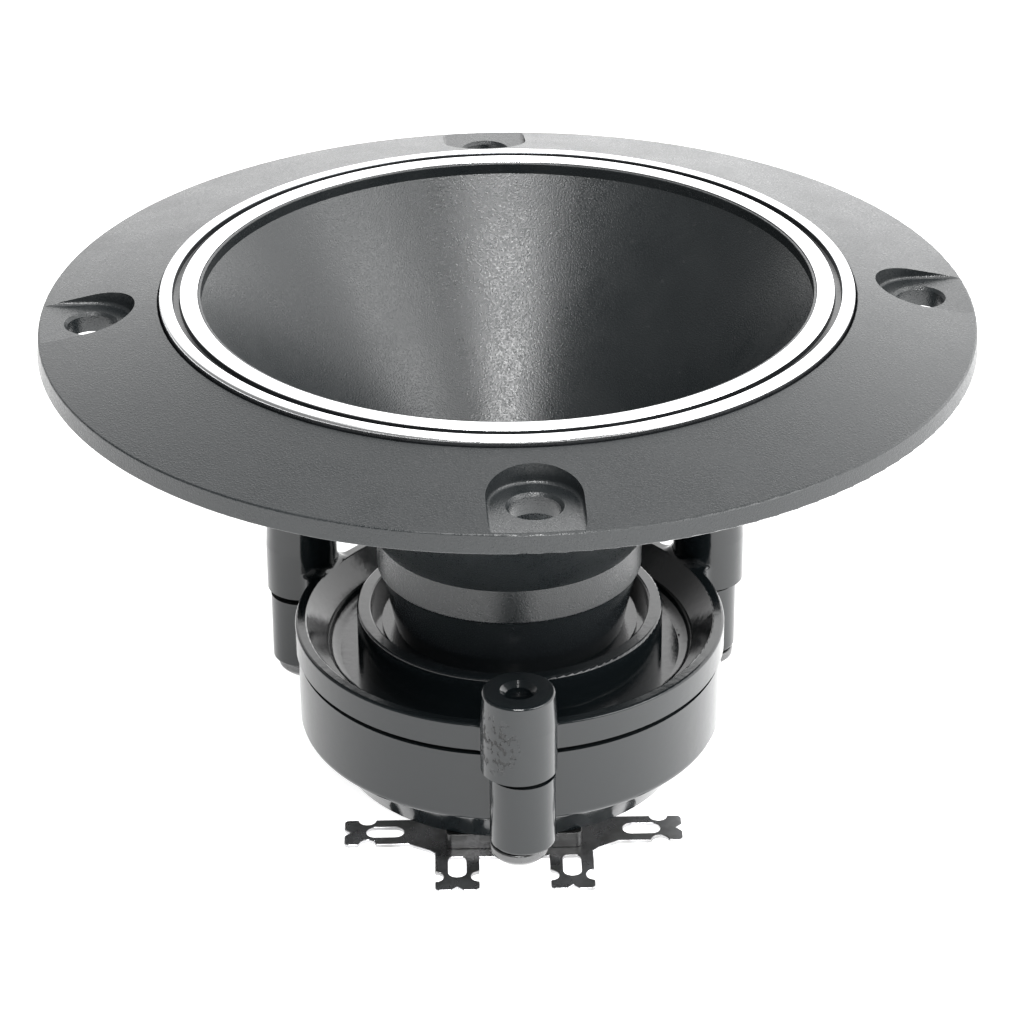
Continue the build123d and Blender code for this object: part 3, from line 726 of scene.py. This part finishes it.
def floor_material():
    """Pale matt floor on a light table: it glows most in front, and its underside is clear."""
    material = bpy.data.materials.new("floor")
    material.use_nodes = True
    tree = material.node_tree
    make = Shade(tree)
    shader = tree.nodes["Principled BSDF"]
    place = make.coords()
    x, y, _ = make.split(place)
    dust = make.noise(place, 30.0, 3.0)
    shader.inputs["Roughness"].default_value = 0.9
    shader.inputs["Emission Color"].default_value = WHITE
    level = (FLOOR_ALBEDO,) * 3
    make.link(make.mix(dust, *tones(level, 0.02)), shader.inputs["Base Color"])
    glow = make.ramp(y, *FLOOR_GLOW_DEPTH, FLOOR_GLOW_FRONT, FLOOR_GLOW_BACK, smooth=True)
    side = make.ramp(x, *FLOOR_GLOW_WIDTH, -FLOOR_GLOW_SIDE, FLOOR_GLOW_SIDE, smooth=True)
    glow = make.math("MAXIMUM", make.math("ADD", glow, side), FLOOR_GLOW_BACK)
    make.link(glow, shader.inputs["Emission Strength"])
    clear = make.node("ShaderNodeBsdfTransparent")
    mixer = make.node("ShaderNodeMixShader")
    make.link(make.node("ShaderNodeNewGeometry").outputs["Backfacing"], mixer.inputs[0])
    make.link(shader.outputs[0], mixer.inputs[1])
    make.link(clear.outputs[0], mixer.inputs[2])
    make.link(mixer.outputs[0], tree.nodes["Material Output"].inputs["Surface"])
    return material


def make_floor():
    half = FLOOR_SIZE
    z = cad_box[0].z - FLOOR_GAP
    mesh = bpy.data.meshes.new("floor")
    mesh.from_pydata([(-half, -half, z), (half, -half, z), (half, half, z), (-half, half, z)], [], [(0, 1, 2, 3)])
    mesh.materials.append(floor_material())
    link(bpy.data.objects.new("floor", mesh))


def make_world():
    """A soft dome: bright behind and to the right, dim in front and to the left, brighter overhead."""
    world = bpy.data.worlds.new("studio")
    bpy.context.scene.world = world
    world.use_nodes = True
    make = Shade(world.node_tree)
    x, y, z = make.split(make.node("ShaderNodeTexCoord").outputs["Generated"])
    azimuth = make.math("ARCTAN2", x, y)
    from_left = make.ramp(azimuth, *LEFT_EDGE, smooth=True)
    to_front = make.ramp(azimuth, *FRONT_EDGE, 1.0, 0.0, smooth=True)
    low_sky = make.ramp(z, *HIGH_SKY, 1.0, HIGH_SKY_SHARE, smooth=True)
    band = make.math("MULTIPLY", make.math("MULTIPLY", from_left, to_front), low_sky)
    zenith = make.math("MULTIPLY", make.ramp(z, *ZENITH_EDGE, smooth=True), ZENITH_RADIANCE)
    glow = make.math("ADD", make.math("MULTIPLY", band, BACK_RADIANCE), zenith)
    background = world.node_tree.nodes["Background"]
    make.link(make.math("ADD", glow, DIM_RADIANCE), background.inputs["Strength"])
    background.inputs["Color"].default_value = WHITE


def make_panel(name, azimuth, elevation, distance, width, height, radiance):
    """A soft panel that faces the horn's mouth; azimuth 0 is on the camera's side, 90 to the right."""
    a, e = math.radians(azimuth), math.radians(elevation)
    direction = Vector((math.sin(a) * math.cos(e), -math.cos(a) * math.cos(e), math.sin(e)))
    data = bpy.data.lights.new(name, "AREA")
    data.shape = "RECTANGLE"
    data.size = width
    data.size_y = height
    data.energy = radiance * math.pi * width * height
    panel = link(bpy.data.objects.new(name, data))
    panel.location = direction * distance
    panel.rotation_mode = "QUATERNION"
    panel.rotation_quaternion = direction.to_track_quat("Z", "Y")


def make_lights():
    make_panel("key", *KEY_PANEL)
    make_panel("right", *RIGHT_PANEL)


# --- Finish of the CAD nodes that stay --------------------------------------------------------------------
def dress(material, *names):
    for name in names:
        mesh = nodes[name].data
        mesh.materials.clear()
        mesh.materials.append(material)


bpy.context.scene.view_settings.view_transform = "Standard"
make_camera()
make_world()
make_lights()
make_floor()

gloss_black = housing_paint()
tin = tinned_steel()
steel = plated_steel()
rubber = grained("gasket_rubber", (0.012, 0.012, 0.012), 0.75, grain=2500.0, depth=0.02)
plug_plastic = grained("plug_plastic", (0.02, 0.02, 0.021), 0.4, grain=1800.0)
clamp_plastic = grained("clamp_plastic", (0.05, 0.05, 0.055), 0.5, grain=1800.0)
block_plastic = grained("block_plastic", (0.01, 0.01, 0.01), 0.22, grain=900.0, depth=0.006)
black_oxide = grained("screw_steel", (0.02, 0.021, 0.022), 0.25, grain=1600.0, depth=0.012, ior=1.9)
ferrite = grained("magnet_ferrite", (0.045, 0.045, 0.05), 0.5, grain=2600.0, depth=0.03, spread=0.4)
dome_metal = grained("dome_metal", (0.55, 0.57, 0.6), 0.25, metallic=1.0, grain=1200.0, depth=0.004)
film = grained("former_film", (0.36, 0.14, 0.03), 0.3, grain=1000.0, depth=0.003, coat=0.5)

dress(horn_paint(), "horn_flange")
dress(gloss_black, "front_housing", "rear_cover")
dress(plug_plastic, "phase_plug")
dress(rubber, "throat_gasket", "housing_gasket")
dress(dome_metal, "diaphragm_dome")
dress(woven("surround_cloth", (0.03, 0.018, 0.012), 24000.0), "surround")
dress(film, "voice_coil_former")
dress(tin, "coil_tab_right", "coil_tab_left")
dress(grained("lead_red", (0.3, 0.015, 0.01), 0.4), "lead_right")
dress(grained("lead_black", (0.015, 0.015, 0.015), 0.4), "lead_left")

make_trim_ring(turned_aluminium(), grained("trim_black", (0.008, 0.009, 0.01), 0.3, grain=2500.0))
make_screws(black_oxide)
make_rivets(tin)
make_winding(enamelled_copper())
make_pad("motor_pad", MOTOR_PAD_BORE, foam("pad_foam", (0.03, 0.03, 0.032), 2200.0), "motor_foam_pad")
make_pad("damping_pad", DAMPING_PAD_BORE, foam("pad_felt", (0.22, 0.2, 0.17), 4200.0), "damping_felt_pad")
for node, edge_width, material, slot in (
    ("terminal_lug_right", 0.18, tin, "terminal_metal"),
    ("terminal_lug_left", 0.18, tin, "terminal_metal"),
    ("terminal_block", 0.25, block_plastic, "block_plastic"),
    ("magnet", 0.4, ferrite, "magnet_ferrite"),
    ("top_plate", 0.2, steel, "plate_steel"),
    ("yoke", 0.25, steel, "plate_steel"),
    ("lower_clamp_ring", 0.12, clamp_plastic, "clamp_plastic"),
    ("upper_clamp_ring", 0.12, clamp_plastic, "clamp_plastic"),
):
    chamfered(node, edge_width, material)
